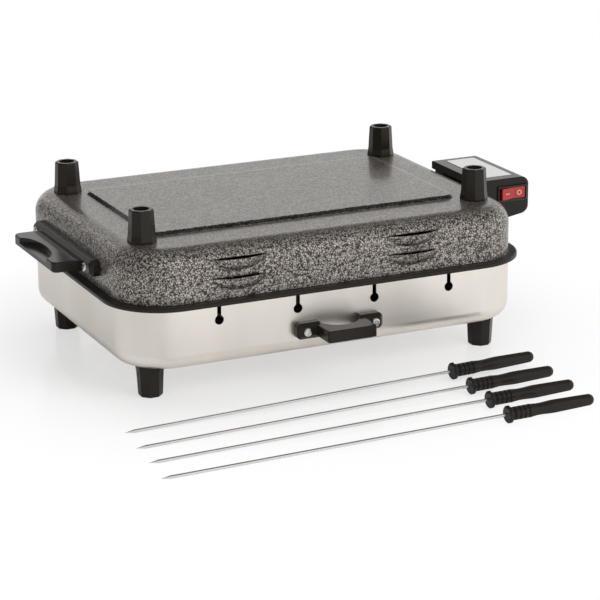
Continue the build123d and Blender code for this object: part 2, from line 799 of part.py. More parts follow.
# Reflector: a ribbed sheet with folded edges between the element and the pan
def reflector():
    z = reflector_height
    t = reflector_sheet
    outer = plate(reflector_length, reflector_depth, reflector_corner_radius, z - reflector_fold, z + t)
    inner = plate(reflector_length - 2 * t, reflector_depth - 2 * t, reflector_corner_radius - t,
                  z - reflector_fold - 1, z)
    sheet_part = outer - inner
    for i in (-1, 0, 1):
        for sign, level in ((1, z + t), (-1, z)):
            grow = 2 * t if sign > 0 else 0
            low = RectangleRounded(reflector_rib_length + grow, reflector_rib_width + grow,
                                   reflector_rib_width / 2 - 0.5)
            high = RectangleRounded(reflector_rib_length - 8 + grow, reflector_rib_width - 4 + grow,
                                    reflector_rib_width / 4 - 0.5)
            place = Pos(0, i * element_run_pitch, level)
            rib = loft([place * low, place * Pos(0, 0, reflector_rib_rise) * high], ruled=True)
            sheet_part = sheet_part + rib if sign > 0 else sheet_part - rib
    for x, y in corners((2 * spacer_places[0], 2 * spacer_places[1])):
        sheet_part -= screw_hole(Plane(origin=(x, y, z)), 4)
    for x, y in clip_rivets():
        sheet_part -= rivet_hole(Plane(origin=(x, y, z)), 4)
    return sheet_part


def clip_rivets():
    half = element_diameter / 2 + clip_sheet + clip_flange / 2
    return [(x, j * element_run_pitch + side * half)
            for x in clip_places for j in (-1.5, -0.5, 0.5, 1.5) for side in (-1, 1)]


# Clip: a bent strap that holds one run of the element under the reflector
def clip(x, y):
    r = element_diameter / 2 + 0.05
    t = clip_sheet
    z = reflector_height
    outer = r + t
    strap = extrude(Plane(origin=(x - clip_width / 2, y, element_height), x_dir=(0, 1, 0),
                          z_dir=(1, 0, 0)) * Circle(outer), clip_width)
    sides = Pos(x, y, (element_height + z) / 2) * Box(clip_width, 2 * outer, z - element_height)
    strap += sides
    flanges = Pos(x, y, z - t / 2) * Box(clip_width, 2 * (outer + clip_flange), t)
    strap += flanges
    strap -= extrude(Plane(origin=(x - clip_width, y, element_height), x_dir=(0, 1, 0),
                           z_dir=(1, 0, 0)) * Circle(r), 2 * clip_width)
    strap -= Pos(x, y, (element_height + z) / 2) * Box(clip_width + 2, 2 * r, z - element_height + 2 * t)
    for rivet_x, rivet_y in clip_rivets():
        if rivet_x == x and abs(rivet_y - y) < element_run_pitch / 2:
            strap -= rivet_hole(Plane(origin=(rivet_x, rivet_y, z)), 4)
    return strap.solids()


def element_clips():
    group = []
    for x in clip_places:
        for j in (-1.5, -0.5, 0.5, 1.5):
            group += clip(x, j * element_run_pitch)
    return grouped(group)


def clip_rivet_group():
    group = []
    for x, y in clip_rivets():
        low = reflector_height - clip_sheet
        grip = clip_sheet + reflector_sheet
        group.append(rivet(Plane(origin=(x, y, low), z_dir=(0, 0, -1)), grip))
    return grouped(group)


def spacers():
    group = []
    low = reflector_height + reflector_sheet
    for x, y in corners((2 * spacer_places[0], 2 * spacer_places[1])):
        high = lid_top + panel_rise - sheet
        tube = rod((x, y, low), (x, y, high), spacer_diameter / 2)
        tube -= rod((x, y, low - 1), (x, y, high + 1), screw_diameter / 2 + 0.02)
        group.append(tube)
    return grouped(group)


def spacer_screws():
    group = []
    for x, y in corners((2 * spacer_places[0], 2 * spacer_places[1])):
        plane = Plane(origin=(x, y, reflector_height), z_dir=(0, 0, -1))
        length = lid_top + panel_rise - reflector_height - sheet - 1
        group.append(screw(plane, length))
    return grouped(group)


# Drip tray: a shallow sheet tray with a turned-out edge that lies on the base pan's floor
def drip_tray():
    floor_z = base_floor + sheet + tray_clearance
    rim_z = floor_z + tray_height

    def outline(z, shrink):
        grow = tray_slope * (z - rim_z) / tray_height - shrink
        return Pos(0, 0, z) * RectangleRounded(tray_length + 2 * grow, tray_depth + 2 * grow,
                                               tray_corner_radius + grow)

    outer = loft([outline(floor_z, 0), outline(rim_z, 0)], ruled=True)
    hollow = loft([outline(floor_z + sheet, sheet), outline(rim_z + 1, sheet)], ruled=True)
    lip = plate(tray_length + 2 * tray_lip, tray_depth + 2 * tray_lip, tray_corner_radius + tray_lip,
                rim_z - sheet, rim_z)
    return outer + lip - hollow


# Grate: a wire frame on four bent legs, with round bars across it
def grill_grate():
    z = grate_height
    half_x = grate_length / 2
    half_y = grate_depth / 2
    radius = grate_corner_radius
    wire = grate_frame_wire / 2
    straight_x = half_x - radius
    straight_y = half_y - radius
    pieces = []
    for i in (-1, 1):
        pieces.append(rod((-straight_x, i * half_y, z), (straight_x, i * half_y, z), wire))
        pieces.append(rod((i * half_x, -straight_y, z), (i * half_x, straight_y, z), wire))
    for turn, (i, j) in zip((0, 90, 180, 270), ((1, 1), (-1, 1), (-1, -1), (1, -1))):
        section = Plane(origin=(radius, 0, 0), x_dir=(1, 0, 0), z_dir=(0, -1, 0)) * Circle(wire)
        bend = revolve(section, Axis.Z, revolution_arc=90)
        pieces.append(Pos(i * straight_x, j * straight_y, z) * Rot(0, 0, turn) * bend)
    bar_z = z + wire + grate_bar_wire / 2 - grate_weld
    pitch = (grate_length - 2 * grate_bar_margin) / (grate_bar_count - 1)
    for i in range(grate_bar_count):
        x = (i - (grate_bar_count - 1) / 2) * pitch
        inset = max(0.0, abs(x) - straight_x)
        dip = radius - sqrt(radius ** 2 - inset ** 2)
        half = half_y - dip + grate_weld
        pieces.append(rod((x, -half, bar_z), (x, half, bar_z), grate_bar_wire / 2))
    cross_z = bar_z - grate_bar_wire / 2 - grate_cross_wire / 2 + grate_weld * 0.6
    for y in grate_cross_places:
        half = half_x - grate_weld
        pieces.append(rod((-half, y, cross_z), (half, y, cross_z), grate_cross_wire / 2))
    foot_z = base_floor + sheet + grate_foot_clearance + grate_cross_wire / 2
    for x, y in corners((2 * grate_leg_places[0], 2 * grate_leg_places[1])):
        outward = 1 if y > 0 else -1
        pieces.append(bent_leg(x, outward * half_y, y, foot_z, z))
    return joined(pieces)


def bent_leg(x, y_top, y_foot, foot_z, top_z):
    inward = -1 if y_top > 0 else 1
    toe = (x, y_foot + inward * grate_leg_foot, foot_z)
    path = FilletPolyline((x, y_top, top_z), (x, y_foot, foot_z), toe, radius=3.5)
    line = path @ 0.1 - path @ 0
    start = Plane(origin=(x, y_top, top_z), z_dir=line)
    return sweep(start * Circle(grate_cross_wire / 2), path=path)


# Skewer: a pointed rod in a grip with a notched disc and grooves; local x runs to the grip's free end
def skewer_pieces():
    point_start = -skewer_rod_length
    half = skewer_rod_diameter / 2
    depth = skewer_socket_depth
    profile = make_face(Polyline((point_start, 0), (point_start + skewer_point_length, half),
                                 (depth, half), (depth, 0), close=True))
    blade = revolve(profile, Axis.X)
    disc = skewer_collar_diameter / 2
    collar = skewer_collar_thickness
    neck = skewer_grip_neck / 2
    shoulder = skewer_grip_shoulder / 2
    waist = skewer_grip_waist / 2
    belly = skewer_grip_belly / 2
    last = skewer_grip_end / 2
    length = skewer_grip_length
    head = Polyline((0, 0), (0, disc - 0.8), (0.8, disc), (collar - 0.8, disc), (collar, disc - 0.8),
                    (collar, neck), (collar + 2.4, neck), (collar + 3.4, shoulder),
                    (skewer_shoulder_place, shoulder))
    body = Spline((skewer_shoulder_place, shoulder), (skewer_waist_place, waist), (skewer_belly_place, belly),
                  (length - 4, last), tangents=((1, 0), (1, -0.04)))
    tail = Polyline((length - 4, last), (length - 1.2, last - 1.2), (length, last - 2.8), (length, 0), (0, 0))
    grip = revolve(make_face(head + body + tail), Axis.X)
    for i in range(skewer_groove_count):
        x = skewer_groove_start + i * skewer_groove_pitch
        ring = Circle(shoulder + 2) - Circle(shoulder - skewer_groove_depth)
        cut_plane = Plane(origin=(x, 0, 0), z_dir=(1, 0, 0))
        grip -= extrude(cut_plane * ring, skewer_groove_width)
    stations = [(skewer_shoulder_place, shoulder), (skewer_waist_place, waist),
                (skewer_belly_place, belly), (length + 1, last)]
    for (low, low_radius), (high, high_radius) in zip(stations, stations[1:]):
        faces = [Plane(origin=(x, 0, 0), z_dir=(1, 0, 0)) *
                 RegularPolygon(radius - skewer_facet_depth, 8, major_radius=False)
                 for x, radius in ((low, low_radius), (high, high_radius))]
        blank = rod((low, 0, 0), (high, 0, 0), belly + 3)
        grip -= blank - loft(faces, ruled=True)
    notch = Pos(collar / 2, 0, disc) * Box(collar * 2, skewer_notch, skewer_notch)
    grip -= notch
    grip -= rod((-1, 0, 0), (depth, 0, 0), half)
    return blade, grip


def skewer_location(x, y, turn):
    rise = skewer_collar_diameter / 2
    drop = rise - skewer_rod_diameter / 2
    lean = degrees(asin(drop / (skewer_rod_length - skewer_point_length)))
    return Pos(x, y, rise) * Rot(0, 0, turn) * Rot(0, -lean, 0)


# Everything on the base
keep("base_pan", base_pan())
base_foot_planes = [Plane(origin=(x, y, base_floor), x_dir=(1, 0, 0), z_dir=(0, 0, -1))
                    for x, y in corners(base_foot_spacing)]
for plane in base_foot_planes:
    keep("base_foot_" + corner_name(plane.origin.X, plane.origin.Y), foot(plane))
keep("base_foot_screws", grouped(foot_screw(plane, sheet) for plane in base_foot_planes))
keep("base_foot_nuts", grouped(foot_nut(plane) for plane in base_foot_planes))
keep("front_handle", front_handle())
front_seats = [Plane(origin=(x, front_wall - front_ear_depth, z), x_dir=(1, 0, 0), z_dir=(0, -1, 0))
               for x, z in front_screw_places]
keep("front_handle_screws",
     grouped(screw(plane, front_ear_depth + sheet + nut_height + 1) for plane in front_seats))
keep("front_handle_nuts", grouped(
    nut(Plane(origin=(x, front_wall + sheet, z), x_dir=(1, 0, 0), z_dir=(0, 1, 0)))
    for x, z in front_screw_places))
for side, x in zip(("left", "right"), hinge_places):
    keep("hinge_base_leaf_" + side, base_leaf(x))
    keep("hinge_lid_leaf_" + side, lid_leaf(x))
    keep("hinge_pin_" + side, hinge_pin(x))
leaf_grip = hinge_leaf_sheet + sheet
keep("hinge_base_rivets", grouped(
    rivet(Plane(origin=(x, -front_wall + hinge_leaf_sheet, z), x_dir=(-1, 0, 0), z_dir=(0, 1, 0)), leaf_grip)
    for x, z in base_rivet_places))
keep("drip_tray", drip_tray())
keep("grill_grate", grill_grate())

# Everything on the lid
keep("lid_pan", lid_pan())
lid_foot_planes = [Plane(origin=(x, y, lid_top), x_dir=(1, 0, 0), z_dir=(0, 0, 1))
                   for x, y in corners(lid_foot_spacing)]
for plane in lid_foot_planes:
    keep("lid_foot_" + corner_name(plane.origin.X, plane.origin.Y), foot(plane))
keep("lid_foot_screws", grouped(foot_screw(plane, sheet) for plane in lid_foot_planes))
keep("lid_foot_nuts", grouped(foot_nut(plane) for plane in lid_foot_planes))
keep("side_handle", side_handle())
side_seats = [Plane(origin=(-right_wall - side_ear_depth, y, z), x_dir=(0, -1, 0), z_dir=(-1, 0, 0))
              for y, z in side_screw_places]
keep("side_handle_screws",
     grouped(screw(plane, side_ear_depth + sheet + nut_height + 1) for plane in side_seats))
keep("side_handle_nuts", grouped(
    nut(Plane(origin=(-right_wall + sheet, y, z), x_dir=(0, 1, 0), z_dir=(1, 0, 0)))
    for y, z in side_screw_places))
keep("hinge_lid_rivets", grouped(
    rivet(Plane(origin=(x, -front_wall + hinge_leaf_sheet, z), x_dir=(-1, 0, 0), z_dir=(0, 1, 0)), leaf_grip)
    for x, z in lid_rivet_places))
keep("control_cover", control_cover())
keep("control_plate", control_plate())
keep("control_screws", box_screws())
keep("label_plate", label_plate())
keep("switch_body", switch_body())
keep("switch_rocker", rocker())
keep("thermostat", thermostat())
keep("terminal_block", terminal_block())
keep("cord_gland", cord_gland())
keep("heating_element", heating_element())
keep("element_bushes", element_bushes())
keep("reflector", reflector())
keep("element_clips", element_clips())
keep("clip_rivets", clip_rivet_group())
keep("reflector_spacers", spacers())
keep("reflector_screws", spacer_screws())

# Skewers
blade, grip = skewer_pieces()
for number, (x, y, turn) in enumerate(skewer_places, start=1):
    place = skewer_location(x, y, turn)
    keep(f"skewer_{number}_rod", place * blade)
    keep(f"skewer_{number}_grip", place * grip)

# The origin is the middle of the whole set's footprint, on the table
boxes = [shape.bounding_box() for shape in nodes.values()]
middle_x = (min(box.min.X for box in boxes) + max(box.max.X for box in boxes)) / 2
middle_y = (min(box.min.Y for box in boxes) + max(box.max.Y for box in boxes)) / 2
floor = min(box.min.Z for box in boxes)
print("grill centre", round(-middle_x, 3), round(-middle_y, 3), "lowest point", round(floor, 3))

os.makedirs("parts", exist_ok=True)
for name, shape in nodes.items():
    export_step(Pos(-middle_x, -middle_y, 0) * shape, f"parts/{name}.step")
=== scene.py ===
import bpy
import math
from mathutils import Vector, Matrix


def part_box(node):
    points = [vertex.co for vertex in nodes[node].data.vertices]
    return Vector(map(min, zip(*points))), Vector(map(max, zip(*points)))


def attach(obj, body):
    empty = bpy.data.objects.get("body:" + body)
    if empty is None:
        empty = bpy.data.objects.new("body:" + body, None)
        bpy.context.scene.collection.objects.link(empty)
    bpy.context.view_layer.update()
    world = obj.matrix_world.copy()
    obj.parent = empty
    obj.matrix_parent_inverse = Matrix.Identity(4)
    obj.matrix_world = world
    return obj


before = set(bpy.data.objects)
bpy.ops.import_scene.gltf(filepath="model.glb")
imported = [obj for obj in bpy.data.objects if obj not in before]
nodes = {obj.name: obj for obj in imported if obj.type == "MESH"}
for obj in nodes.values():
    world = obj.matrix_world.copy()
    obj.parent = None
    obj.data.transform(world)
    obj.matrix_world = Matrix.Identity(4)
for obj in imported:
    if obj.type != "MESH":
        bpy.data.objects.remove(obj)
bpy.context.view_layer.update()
print("stage: frame loaded,", len(nodes), "nodes")

# The grill's own centre in the shared frame, from the base pan's box
panLow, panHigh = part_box("base_pan")
grillX = (panLow[0] + panHigh[0]) / 2
grillY = (panLow[1] + panHigh[1]) / 2


# Small helpers for node trees
def newMaterial(name):
    mat = bpy.data.materials.new(name)
    mat.use_nodes = True
    tree = mat.node_tree
    return mat, tree, tree.nodes["Principled BSDF"]


def addNode(tree, kind, **values):
    node = tree.nodes.new(kind)
    for key, value in values.items():
        setattr(node, key, value)
    return node


# Another node's output is linked to the socket, and a plain value is set on the socket itself
def feed(tree, node, values):
    for name, value in values.items():
        if isinstance(value, bpy.types.NodeSocket):
            tree.links.new(value, node.inputs[name])
        else:
            node.inputs[name].default_value = value


def objectSpace(tree):
    return addNode(tree, "ShaderNodeTexCoord").outputs["Object"]


def splitAxes(tree, vector):
    node = addNode(tree, "ShaderNodeSeparateXYZ")
    feed(tree, node, {0: vector})
    return node.outputs


def mathNode(tree, operation, *values):
    node = addNode(tree, "ShaderNodeMath", operation=operation)
    feed(tree, node, dict(enumerate(values)))
    return node.outputs[0]


# A value from 0 to 1 turned into a swing about zero
def swing(tree, value, depth):
    return mathNode(tree, "MULTIPLY", mathNode(tree, "SUBTRACT", value, 0.5), depth)


# A smooth step between two pairs of a place and the result there
def smoothStep(tree, source, low, high):
    node = addNode(tree, "ShaderNodeMapRange", interpolation_type="SMOOTHSTEP")
    feed(tree, node, {"Value": source, "From Min": low[0], "To Min": low[1],
                      "From Max": high[0], "To Max": high[1]})
    return node.outputs["Result"]


def rampNode(tree, source, places, colors):
    node = addNode(tree, "ShaderNodeValToRGB")
    elements = node.color_ramp.elements
    while len(elements) < len(places):
        elements.new(0.5)
    for element, place, color in zip(elements, places, colors):
        element.position = place
        element.color = (*color, 1)
    feed(tree, node, {"Fac": source})
    return node.outputs["Color"]


def noiseNode(tree, vector, scale, detail=2.0):
    node = addNode(tree, "ShaderNodeTexNoise", noise_dimensions="3D")
    feed(tree, node, {"Vector": vector, "Scale": scale, "Detail": detail})
    return node.outputs


def stretchedNoise(tree, vector, stretch, scale, detail=2.0):
    mapping = addNode(tree, "ShaderNodeMapping")
    feed(tree, mapping, {"Vector": vector, "Scale": stretch})
    return noiseNode(tree, mapping.outputs["Vector"], scale, detail)["Fac"]


def scaleColor(tree, color, factor):
    node = addNode(tree, "ShaderNodeVectorMath", operation="SCALE")
    feed(tree, node, {0: color, "Scale": factor})
    return node.outputs[0]


def mixColor(tree, share, first, second):
    node = addNode(tree, "ShaderNodeMix", data_type="RGBA")
    feed(tree, node, {"Factor": share, "A": first, "B": (*second, 1)})
    return node.outputs["Result"]


def mixShaders(tree, share, first, second):
    node = addNode(tree, "ShaderNodeMixShader")
    feed(tree, node, {0: share, 1: first, 2: second})
    return node.outputs[0]


bevelSamples = 6  # of every Bevel node


# Bump, over edges that the Bevel node rounds off where edgeRadius is given
def bumpInto(tree, shader, height, strength, depth, edgeRadius=0.0):
    bump = addNode(tree, "ShaderNodeBump")
    feed(tree, bump, {"Strength": strength, "Distance": depth, "Height": height})
    if edgeRadius > 0:
        edges = addNode(tree, "ShaderNodeBevel", samples=bevelSamples)
        feed(tree, edges, {"Radius": edgeRadius})
        feed(tree, bump, {"Normal": edges.outputs["Normal"]})
    feed(tree, shader, {"Normal": bump.outputs["Normal"]})


def newGroup(name, inputs, outputs):
    group = bpy.data.node_groups.new(name, "ShaderNodeTree")
    for socketName, kind, value in inputs:
        socket = group.interface.new_socket(socketName, in_out="INPUT", socket_type=kind)
        socket.default_value = value
    for socketName, kind in outputs:
        group.interface.new_socket(socketName, in_out="OUTPUT", socket_type=kind)
    return group, group.nodes.new("NodeGroupInput").outputs, group.nodes.new("NodeGroupOutput")


def placeGroup(tree, group, values):
    node = tree.nodes.new("ShaderNodeGroup")
    node.node_tree = group
    feed(tree, node, values)
    return node.outputs


def paintNode(name, mat):
    mesh = nodes[name].data
    mesh.materials.clear()
    mesh.materials.append(mat)


# Faint handling marks in object space: broad soft clouds and fine specks, which vary colour and gloss
soilMix = {"cloudShare": 0.6, "cloudDetail": 3.0, "speckShare": 0.4, "speckDetail": 2.0}
soilGroup, soilIn, soilOut = newGroup(
    "soil",
    [("Cloud Scale", "NodeSocketFloat", 30.0), ("Speck Scale", "NodeSocketFloat", 900.0),
     ("Base", "NodeSocketColor", (0.5, 0.5, 0.5, 1)), ("Spread", "NodeSocketFloat", 0.1),
     ("Roughness", "NodeSocketFloat", 0.4), ("Roughness Spread", "NodeSocketFloat", 0.1)],
    [("Color", "NodeSocketColor"), ("Roughness", "NodeSocketFloat"), ("Height", "NodeSocketFloat")])


def fillSoilGroup():
    position = objectSpace(soilGroup)
    cloud = noiseNode(soilGroup, position, soilIn["Cloud Scale"], soilMix["cloudDetail"])["Fac"]
    speck = noiseNode(soilGroup, position, soilIn["Speck Scale"], soilMix["speckDetail"])["Fac"]
    soil = mathNode(soilGroup, "ADD", mathNode(soilGroup, "MULTIPLY", cloud, soilMix["cloudShare"]),
                    mathNode(soilGroup, "MULTIPLY", speck, soilMix["speckShare"]))
    tone = mathNode(soilGroup, "ADD", swing(soilGroup, soil, soilIn["Spread"]), 1.0)
    rough = mathNode(soilGroup, "ADD", soilIn["Roughness"], swing(soilGroup, soil, soilIn["Roughness Spread"]))
    feed(soilGroup, soilOut, {"Color": scaleColor(soilGroup, soilIn["Base"], tone), "Roughness": rough,
                              "Height": speck})


fillSoilGroup()


def soiledMaterial(name, color, spread, roughness, roughSpread, cloudScale=30.0, speckScale=900.0,
                   metallic=0.0, specular=0.5, coat=0.0, coatRoughness=0.2, bump=0.0, bumpDepth=0.0002,
                   edgeRadius=0.0):
    mat, tree, shader = newMaterial(name)
    soil = placeGroup(tree, soilGroup, {"Cloud Scale": cloudScale, "Speck Scale": speckScale,
                                        "Base": (*color, 1), "Spread": spread, "Roughness": roughness,
                                        "Roughness Spread": roughSpread})
    feed(tree, shader, {"Base Color": soil["Color"], "Roughness": soil["Roughness"], "Metallic": metallic,
                        "Specular IOR Level": specular, "Coat Weight": coat, "Coat Roughness": coatRoughness})
    if bump > 0:
        bumpInto(tree, shader, soil["Height"], bump, bumpDepth, edgeRadius)
    return mat


# Hammertone paint of the lid pan: light flecks on a dark ground under a glossy skin, painted shade along the
# raised panel's sloping edge, a painted highlight along its upper corner at the right and back, a painted
# warmer, flatter tone on upward-facing surfaces, and a black rim. Heights are above the table, in metres.
paint = {"dark": (0.027, 0.0225, 0.0185), "middle": (0.150, 0.133, 0.117), "light": (0.56, 0.515, 0.47),
         "fleckPlaces": (0.0, 0.105, 0.29), "fleckScale": 460.0, "crookScale": 500.0, "crook": 0.0022,
         "dullScale": 414.0, "dullDetail": 1.0, "dullness": 0.6,
         "flat": (0.118, 0.098, 0.080), "flatShare": 0.58, "flatFrom": 0.75, "flatTo": 0.98,
         "edgeLow": 0.1434, "edgeHigh": 0.1462, "edgeShade": 0.16,
         "paintedHighlight": (0.36, 0.33, 0.30), "paintedHighlightShare": 0.75, "panelHalf": (0.1565, 0.088),
         "shineInset": 0.0012, "shineWidth": 0.0010,
         "rimColor": (0.014, 0.011, 0.008), "rimTop": 0.0946,
         "metallic": 0.6, "specular": 0.3, "coat": 0.4, "coatRoughness": 0.10,
         "roughness": 0.26, "roughSpread": 0.2, "driftScale": 120.0,
         "bump": 0.35, "bumpDepth": 0.0003, "edgeRadius": 0.0014}


# Light cells with crooked dark seams between them, some cells duller than others
def fleckHeight(tree, position):
    crook = addNode(tree, "ShaderNodeVectorMath", operation="MULTIPLY_ADD")
    feed(tree, crook, {0: noiseNode(tree, position, paint["crookScale"])["Color"],
                       1: (paint["crook"],) * 3, 2: position})
    cells = addNode(tree, "ShaderNodeTexVoronoi", feature="DISTANCE_TO_EDGE")
    feed(tree, cells, {"Vector": crook.outputs[0], "Scale": paint["fleckScale"]})
    dull = noiseNode(tree, position, paint["dullScale"], paint["dullDetail"])["Fac"]
    return mathNode(tree, "ADD", cells.outputs["Distance"], swing(tree, dull, paint["dullness"]))


def hammertoneMaterial():
    mat, tree, shader = newMaterial("hammertonePaint")
    position = objectSpace(tree)
    axes = splitAxes(tree, position)
    level = axes["Z"]
    flecks = fleckHeight(tree, position)
    color = rampNode(tree, flecks, paint["fleckPlaces"], (paint["dark"], paint["middle"], paint["light"]))
    # painted light: on upward-facing surfaces the flecks are blended toward one flatter, warmer tone, standing
    # in for how the light falls on the top
    facing = splitAxes(tree, addNode(tree, "ShaderNodeTexCoord").outputs["Normal"])["Z"]
    paintedTopShare = smoothStep(tree, facing, (paint["flatFrom"], 0.0), (paint["flatTo"], paint["flatShare"]))
    color = mixColor(tree, paintedTopShare, color, paint["flat"])
    # painted shade: the colour of the raised panel's sloping edge is darkened
    edge = mathNode(tree, "MULTIPLY", mathNode(tree, "GREATER_THAN", level, paint["edgeLow"]),
                    mathNode(tree, "LESS_THAN", level, paint["edgeHigh"]))
    paintedBevelShade = mathNode(tree, "MULTIPLY", edge, 1 - paint["edgeShade"])
    color = scaleColor(tree, color, mathNode(tree, "SUBTRACT", 1.0, paintedBevelShade))
    # painted highlight: a light line along its upper corner at the right and at the back
    toRight = mathNode(tree, "SUBTRACT", grillX + paint["panelHalf"][0], axes["X"])
    toBack = mathNode(tree, "SUBTRACT", grillY + paint["panelHalf"][1], axes["Y"])
    paintedHighlightBand = mathNode(tree, "COMPARE", mathNode(tree, "MINIMUM", toRight, toBack), paint["shineInset"],
                    paint["shineWidth"])
    onPanel = mathNode(tree, "GREATER_THAN", level, paint["edgeHigh"])
    paintedHighlight = mathNode(tree, "MULTIPLY", mathNode(tree, "MULTIPLY", paintedHighlightBand, onPanel), paint["paintedHighlightShare"])
    color = mixColor(tree, paintedHighlight, color, paint["paintedHighlight"])
    # the folded rim is black, with no metal flake and no glossy skin
    rim = mathNode(tree, "LESS_THAN", level, paint["rimTop"])
    above = mathNode(tree, "SUBTRACT", 1.0, rim)
    drift = noiseNode(tree, position, paint["driftScale"])["Fac"]
    rough = mathNode(tree, "ADD", mathNode(tree, "MULTIPLY", drift, paint["roughSpread"]), paint["roughness"])
    feed(tree, shader, {"Base Color": mixColor(tree, rim, color, paint["rimColor"]), "Roughness": rough,
                        "Metallic": mathNode(tree, "MULTIPLY", above, paint["metallic"]),
                        "Coat Weight": mathNode(tree, "MULTIPLY", above, paint["coat"]),
                        "Coat Roughness": paint["coatRoughness"], "Specular IOR Level": paint["specular"]})
    bumpInto(tree, shader, flecks, paint["bump"], paint["bumpDepth"], paint["edgeRadius"])
    return mat


paintNode("lid_pan", hammertoneMaterial())

# Stainless base pan: satin, faintly brushed along its walls, with soft upright painted reflection bands in its
# colour
steel = {"color": (0.925, 0.872, 0.81), "roughness": 0.34, "roughSpread": 0.08, "spread": 0.06,
         "cloudScale": 14.0, "speckScale": 500.0,
         "brushStretch": (0.02, 0.02, 1.0), "brushScale": 900.0, "brushDetail": 3.0, "brushDepth": 0.08,
         "paintedReflectionStretch": (1.0, 1.0, 0.1), "paintedReflectionScale": 14.0, "paintedReflectionDepth": 0.34,
         "bump": 0.03, "bumpDepth": 0.0001}


def brushedMaterial():
    mat, tree, shader = newMaterial("stainlessSteel")
    position = objectSpace(tree)
    soil = placeGroup(tree, soilGroup, {"Cloud Scale": steel["cloudScale"], "Speck Scale": steel["speckScale"],
                                        "Base": (*steel["color"], 1), "Spread": steel["spread"],
                                        "Roughness": steel["roughness"],
                                        "Roughness Spread": steel["roughSpread"]})
    brush = stretchedNoise(tree, position, steel["brushStretch"], steel["brushScale"], steel["brushDetail"])
    rough = mathNode(tree, "ADD", soil["Roughness"], swing(tree, brush, steel["brushDepth"]))
    # painted reflection: soft upright bands, a little lighter and darker at random places, standing in for
    # reflected sheen and partly for the sheet's own streaks
    paintedReflectionBands = stretchedNoise(tree, position, steel["paintedReflectionStretch"], steel["paintedReflectionScale"])
    tone = mathNode(tree, "ADD", 1.0, swing(tree, paintedReflectionBands, steel["paintedReflectionDepth"]))
    feed(tree, shader, {"Base Color": scaleColor(tree, soil["Color"], tone), "Roughness": rough,
                        "Metallic": 1.0})
    bumpInto(tree, shader, brush, steel["bump"], steel["bumpDepth"])
    return mat


paintNode("base_pan", brushedMaterial())

# Black moulded plastic of the feet, handles and control box, and duller on the skewers' grips
plasticLook = {"color": (0.017, 0.013, 0.0095), "spread": 0.3, "roughness": 0.20, "roughSpread": 0.12,
               "specular": 0.26, "bump": 0.12, "edgeRadius": 0.0007}
gripLook = {**plasticLook, "roughness": 0.34, "bump": 0.2}
switchLook = {"color": (0.01, 0.009, 0.009), "spread": 0.2, "roughness": 0.22, "roughSpread": 0.05}

# Bright plated steel of screws, nuts, rivets and hinges, and the other metals
platedLook = {"color": (0.78, 0.77, 0.75), "spread": 0.1, "roughness": 0.2, "roughSpread": 0.1, "metallic": 1.0}
skewerLook = {"color": (0.80, 0.78, 0.76), "spread": 0.1, "roughness": 0.25, "roughSpread": 0.08,
              "metallic": 1.0}
wireLook = {"color": (0.78, 0.78, 0.78), "spread": 0.1, "roughness": 0.12, "roughSpread": 0.06, "metallic": 1.0}
trayLook = {"color": (0.75, 0.75, 0.76), "spread": 0.1, "roughness": 0.35, "roughSpread": 0.1, "metallic": 1.0}
reflectorLook = {"color": (0.82, 0.82, 0.83), "spread": 0.08, "roughness": 0.22, "roughSpread": 0.08,
                 "metallic": 1.0}
elementLook = {"color": (0.16, 0.14, 0.12), "spread": 0.4, "roughness": 0.45, "roughSpread": 0.12,
               "cloudScale": 60.0, "metallic": 0.9}

# Bare label plate and ceramic terminal block
labelLook = {"color": (0.72, 0.71, 0.695), "spread": 0.05, "roughness": 0.3, "roughSpread": 0.06}
ceramicLook = {"color": (0.82, 0.80, 0.75), "spread": 0.06, "roughness": 0.3, "roughSpread": 0.06}

# Red rocker, and the paint of its two marks
rockerLook = {"color": (0.42, 0.012, 0.008), "spread": 0.15, "roughness": 0.18, "roughSpread": 0.04,
              "coat": 0.5, "coatRoughness": 0.08}
markLook = {"color": (0.90, 0.42, 0.36), "spread": 0.05, "roughness": 0.35, "roughSpread": 0.05}

blackPlastic = soiledMaterial("blackPlastic", **plasticLook)
gripPlastic = soiledMaterial("gripPlastic", **gripLook)
switchPlastic = soiledMaterial("switchPlastic", **switchLook)
platedSteel = soiledMaterial("platedSteel", **platedLook)
skewerSteel = soiledMaterial("skewerSteel", **skewerLook)
wireChrome = soiledMaterial("wireChrome", **wireLook)
trayAluminium = soiledMaterial("trayAluminium", **trayLook)
brightAluminium = soiledMaterial("brightAluminium", **reflectorLook)
elementSteel = soiledMaterial("elementSteel", **elementLook)
labelPaper = soiledMaterial("labelPaper", **labelLook)
ceramicWhite = soiledMaterial("ceramicWhite", **ceramicLook)
rockerRed = soiledMaterial("rockerRed", **rockerLook)
markPaint = soiledMaterial("markPaint", **markLook)

pieceMaterials = {
    "front_handle": blackPlastic, "side_handle": blackPlastic, "control_cover": blackPlastic,
    "control_plate": blackPlastic, "cord_gland": blackPlastic, "switch_body": switchPlastic,
    "switch_rocker": rockerRed, "label_plate": labelPaper, "terminal_block": ceramicWhite,
    "heating_element": elementSteel, "reflector": brightAluminium, "drip_tray": trayAluminium,
    "grill_grate": wireChrome, "thermostat": platedSteel, "element_bushes": platedSteel,
    "element_clips": platedSteel, "reflector_spacers": platedSteel,
}
for name in nodes:
    if name.endswith(("screws", "nuts", "rivets")) or name.startswith("hinge_"):
        pieceMaterials[name] = platedSteel
    elif name.startswith(("base_foot_", "lid_foot_")):
        pieceMaterials[name] = blackPlastic
    elif name.endswith("_grip"):
        pieceMaterials[name] = gripPlastic
    elif name.endswith("_rod"):
        pieceMaterials[name] = skewerSteel
for name, mat in pieceMaterials.items():
    paintNode(name, mat)
print("stage: materials placed")

